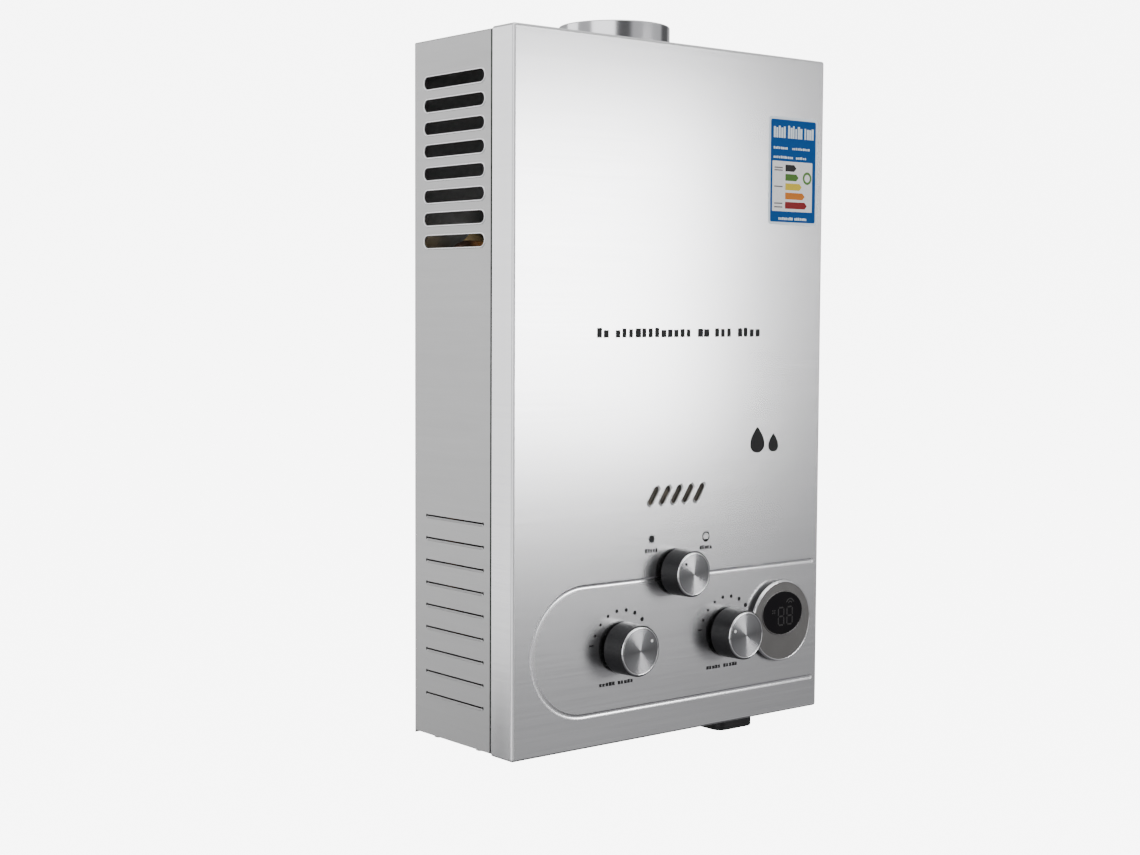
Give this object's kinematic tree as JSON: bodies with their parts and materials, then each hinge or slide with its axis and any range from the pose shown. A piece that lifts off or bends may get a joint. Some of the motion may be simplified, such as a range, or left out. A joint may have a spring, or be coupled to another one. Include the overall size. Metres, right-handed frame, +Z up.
{
  "type": "water heater",
  "caption": "Wall-hung flue-type instantaneous gas water heater with stainless front, side vents, control knobs, round display and flue collar.",
  "frame": {"origin": "on the wall plane, at the middle of the casing's width and level with its underside", "axes": "+X to the right of a person facing the heater, +Y back into the wall, +Z up"},
  "size_m": [0.3, 0.1392, 0.538],
  "materials": {
    "stainless_front": "fine horizontal brushing",
    "case_steel": "satin sheet",
    "flue_chrome": "bright rolled tube",
    "aluminised_sheet": "dull coated sheet",
    "copper": "bare copper, slightly dulled",
    "brass_turned": "turned brass",
    "brass_cast": "cast brass",
    "cast_alloy": "die-cast alloy",
    "plated_steel": "zinc plated",
    "diaphragm_rubber": "moulded rubber",
    "black_plastic": "satin moulded",
    "knob_aluminium": "spun face, polished edge",
    "bezel_grey": "satin metallic paint",
    "display_glass": "smoked, polished",
    "board_green": "lacquered board",
    "ceramic_white": "fired ceramic and steel needle",
    "lead_insulation": "silicone sleeve",
    "mica": "thin smoked sheet",
    "tinned_copper": "dull grey tin dip over copper",
    "cell_jacket": "printed jacket"
  },
  "bodies": {
    "casing": {"rear_case": "case_steel", "bottom_plate": "case_steel", "front_cover": "stainless_front", "case_screws": "plated_steel", "mica_window": "mica", "flue_collar": "flue_chrome", "draft_hood": "aluminised_sheet", "hood_neck": "aluminised_sheet", "chamber_shell": "tinned_copper", "exchanger_fins": "tinned_copper", "exchanger_tubes": "tinned_copper", "chamber_coil": "tinned_copper", "chamber_brackets": "aluminised_sheet", "burner_frame": "aluminised_sheet", "burner_bars": "plated_steel", "gas_manifold": "cast_alloy", "gas_nozzles": "brass_turned", "season_cock_body": "cast_alloy", "gas_valve_body": "cast_alloy", "gas_solenoid": "plated_steel", "gas_transfer_pipe": "cast_alloy", "water_valve_body": "brass_cast", "diaphragm": "diaphragm_rubber", "diaphragm_cover": "brass_cast", "dome_screws": "plated_steel", "microswitch": "black_plastic", "drain_cock_body": "brass_turned", "hot_outlet_stub": "brass_turned", "gas_inlet_stub": "brass_turned", "cold_inlet_stub": "brass_turned", "stub_lock_nuts": "brass_turned", "pipe_union_nuts": "brass_turned", "cold_riser": "copper", "hot_pipe": "copper", "outlet_sensor": "plated_steel", "overheat_thermostat": "plated_steel", "electrode_bracket": "plated_steel", "electrodes": "ceramic_white", "electrode_leads": "lead_insulation", "control_leads": "lead_insulation", "igniter_box": "black_plastic", "battery_box": "black_plastic", "battery_cells": "cell_jacket", "battery_springs": "plated_steel", "display_bezel": "bezel_grey", "display_lens": "display_glass", "display_board": "board_green"},
    "gas_control": {"gas_knob": "black_plastic", "gas_knob_face": "knob_aluminium", "gas_spindle": "plated_steel"},
    "water_control": {"water_knob": "black_plastic", "water_knob_face": "knob_aluminium", "water_spindle": "plated_steel"},
    "season_control": {"season_knob": "black_plastic", "season_knob_face": "knob_aluminium", "season_spindle": "plated_steel"},
    "valve_rod": {"push_rod": "plated_steel"},
    "switch_arm": {"switch_lever": "plated_steel"},
    "battery_lid": {"battery_door": "black_plastic"},
    "drain_lever": {"drain_cock_handle": "plated_steel"}
  },
  "joints": [
    {"name": "gas_knob_turn", "type": "hinge", "parent": "casing", "child": "gas_control", "pos_m": [-0.052, -0.118, 0.069], "axis": [0, 1, 0], "range_deg": [-142, 22]},
    {"name": "water_knob_turn", "type": "hinge", "parent": "casing", "child": "water_control", "pos_m": [0.052, -0.118, 0.069], "axis": [0, 1, 0], "range_deg": [-7, 157]},
    {"name": "season_knob_turn", "type": "hinge", "parent": "casing", "child": "season_control", "pos_m": [0, -0.118, 0.119], "axis": [0, 1, 0], "range_deg": [0, 96]},
    {"name": "valve_rod_slide", "type": "slide", "parent": "casing", "child": "valve_rod", "axis": [-1, 0, 0], "range_m": [0, 0.004], "stiffness_N_per_m": 100},
    {"name": "switch_arm_turn", "type": "hinge", "parent": "casing", "child": "switch_arm", "pos_m": [-0.0107, -0.055, 0.087], "axis": [0, 1, 0], "range_deg": [0, 20]},
    {"name": "battery_lid_swing", "type": "hinge", "parent": "casing", "child": "battery_lid", "pos_m": [0.0885, -0.017, -0.0089], "axis": [1, 0, 0], "range_deg": [0, 95]},
    {"name": "drain_lever_turn", "type": "hinge", "parent": "casing", "child": "drain_lever", "pos_m": [0.022, -0.045, -0.012], "axis": [0, 0, 1], "range_deg": [0, 90]}
  ],
  "couplings": [
    {"joint": "switch_arm_turn", "follows": "valve_rod_slide", "rad_per_m": 87.2}
  ]
}
